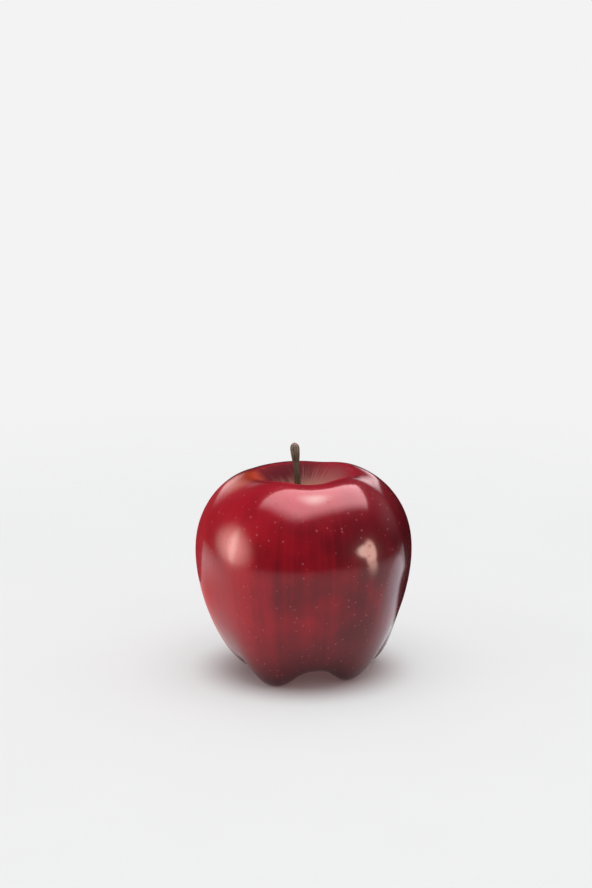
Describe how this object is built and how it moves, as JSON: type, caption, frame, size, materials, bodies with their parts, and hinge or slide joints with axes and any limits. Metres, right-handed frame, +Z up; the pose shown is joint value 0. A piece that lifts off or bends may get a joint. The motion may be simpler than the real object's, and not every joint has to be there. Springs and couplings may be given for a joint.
{
  "type": "apple",
  "caption": "Tall conical red apple with a lobed base, its woody stem in the crown and its dried flower in the basin underneath.",
  "frame": {"origin": "on the table, under the middle of the apple, at the axis from the flower end to the stem end", "axes": "+Z up along the axis towards the stem, -Y to the front between two lobes, +X to the right"},
  "size_m": [0.0754, 0.0751, 0.081],
  "materials": {
    "skin": "waxy, glossy",
    "stem_wood": "dry bark, dull",
    "dried_sepal": "dry, downy",
    "dried_stamen": "dry, dull"
  },
  "bodies": {
    "root": {"fruit": "skin", "stem": "stem_wood", "sepal_1": "dried_sepal", "sepal_2": "dried_sepal", "sepal_3": "dried_sepal", "sepal_4": "dried_sepal", "sepal_5": "dried_sepal", "stamens": "dried_stamen"}
  },
  "joints": []
}
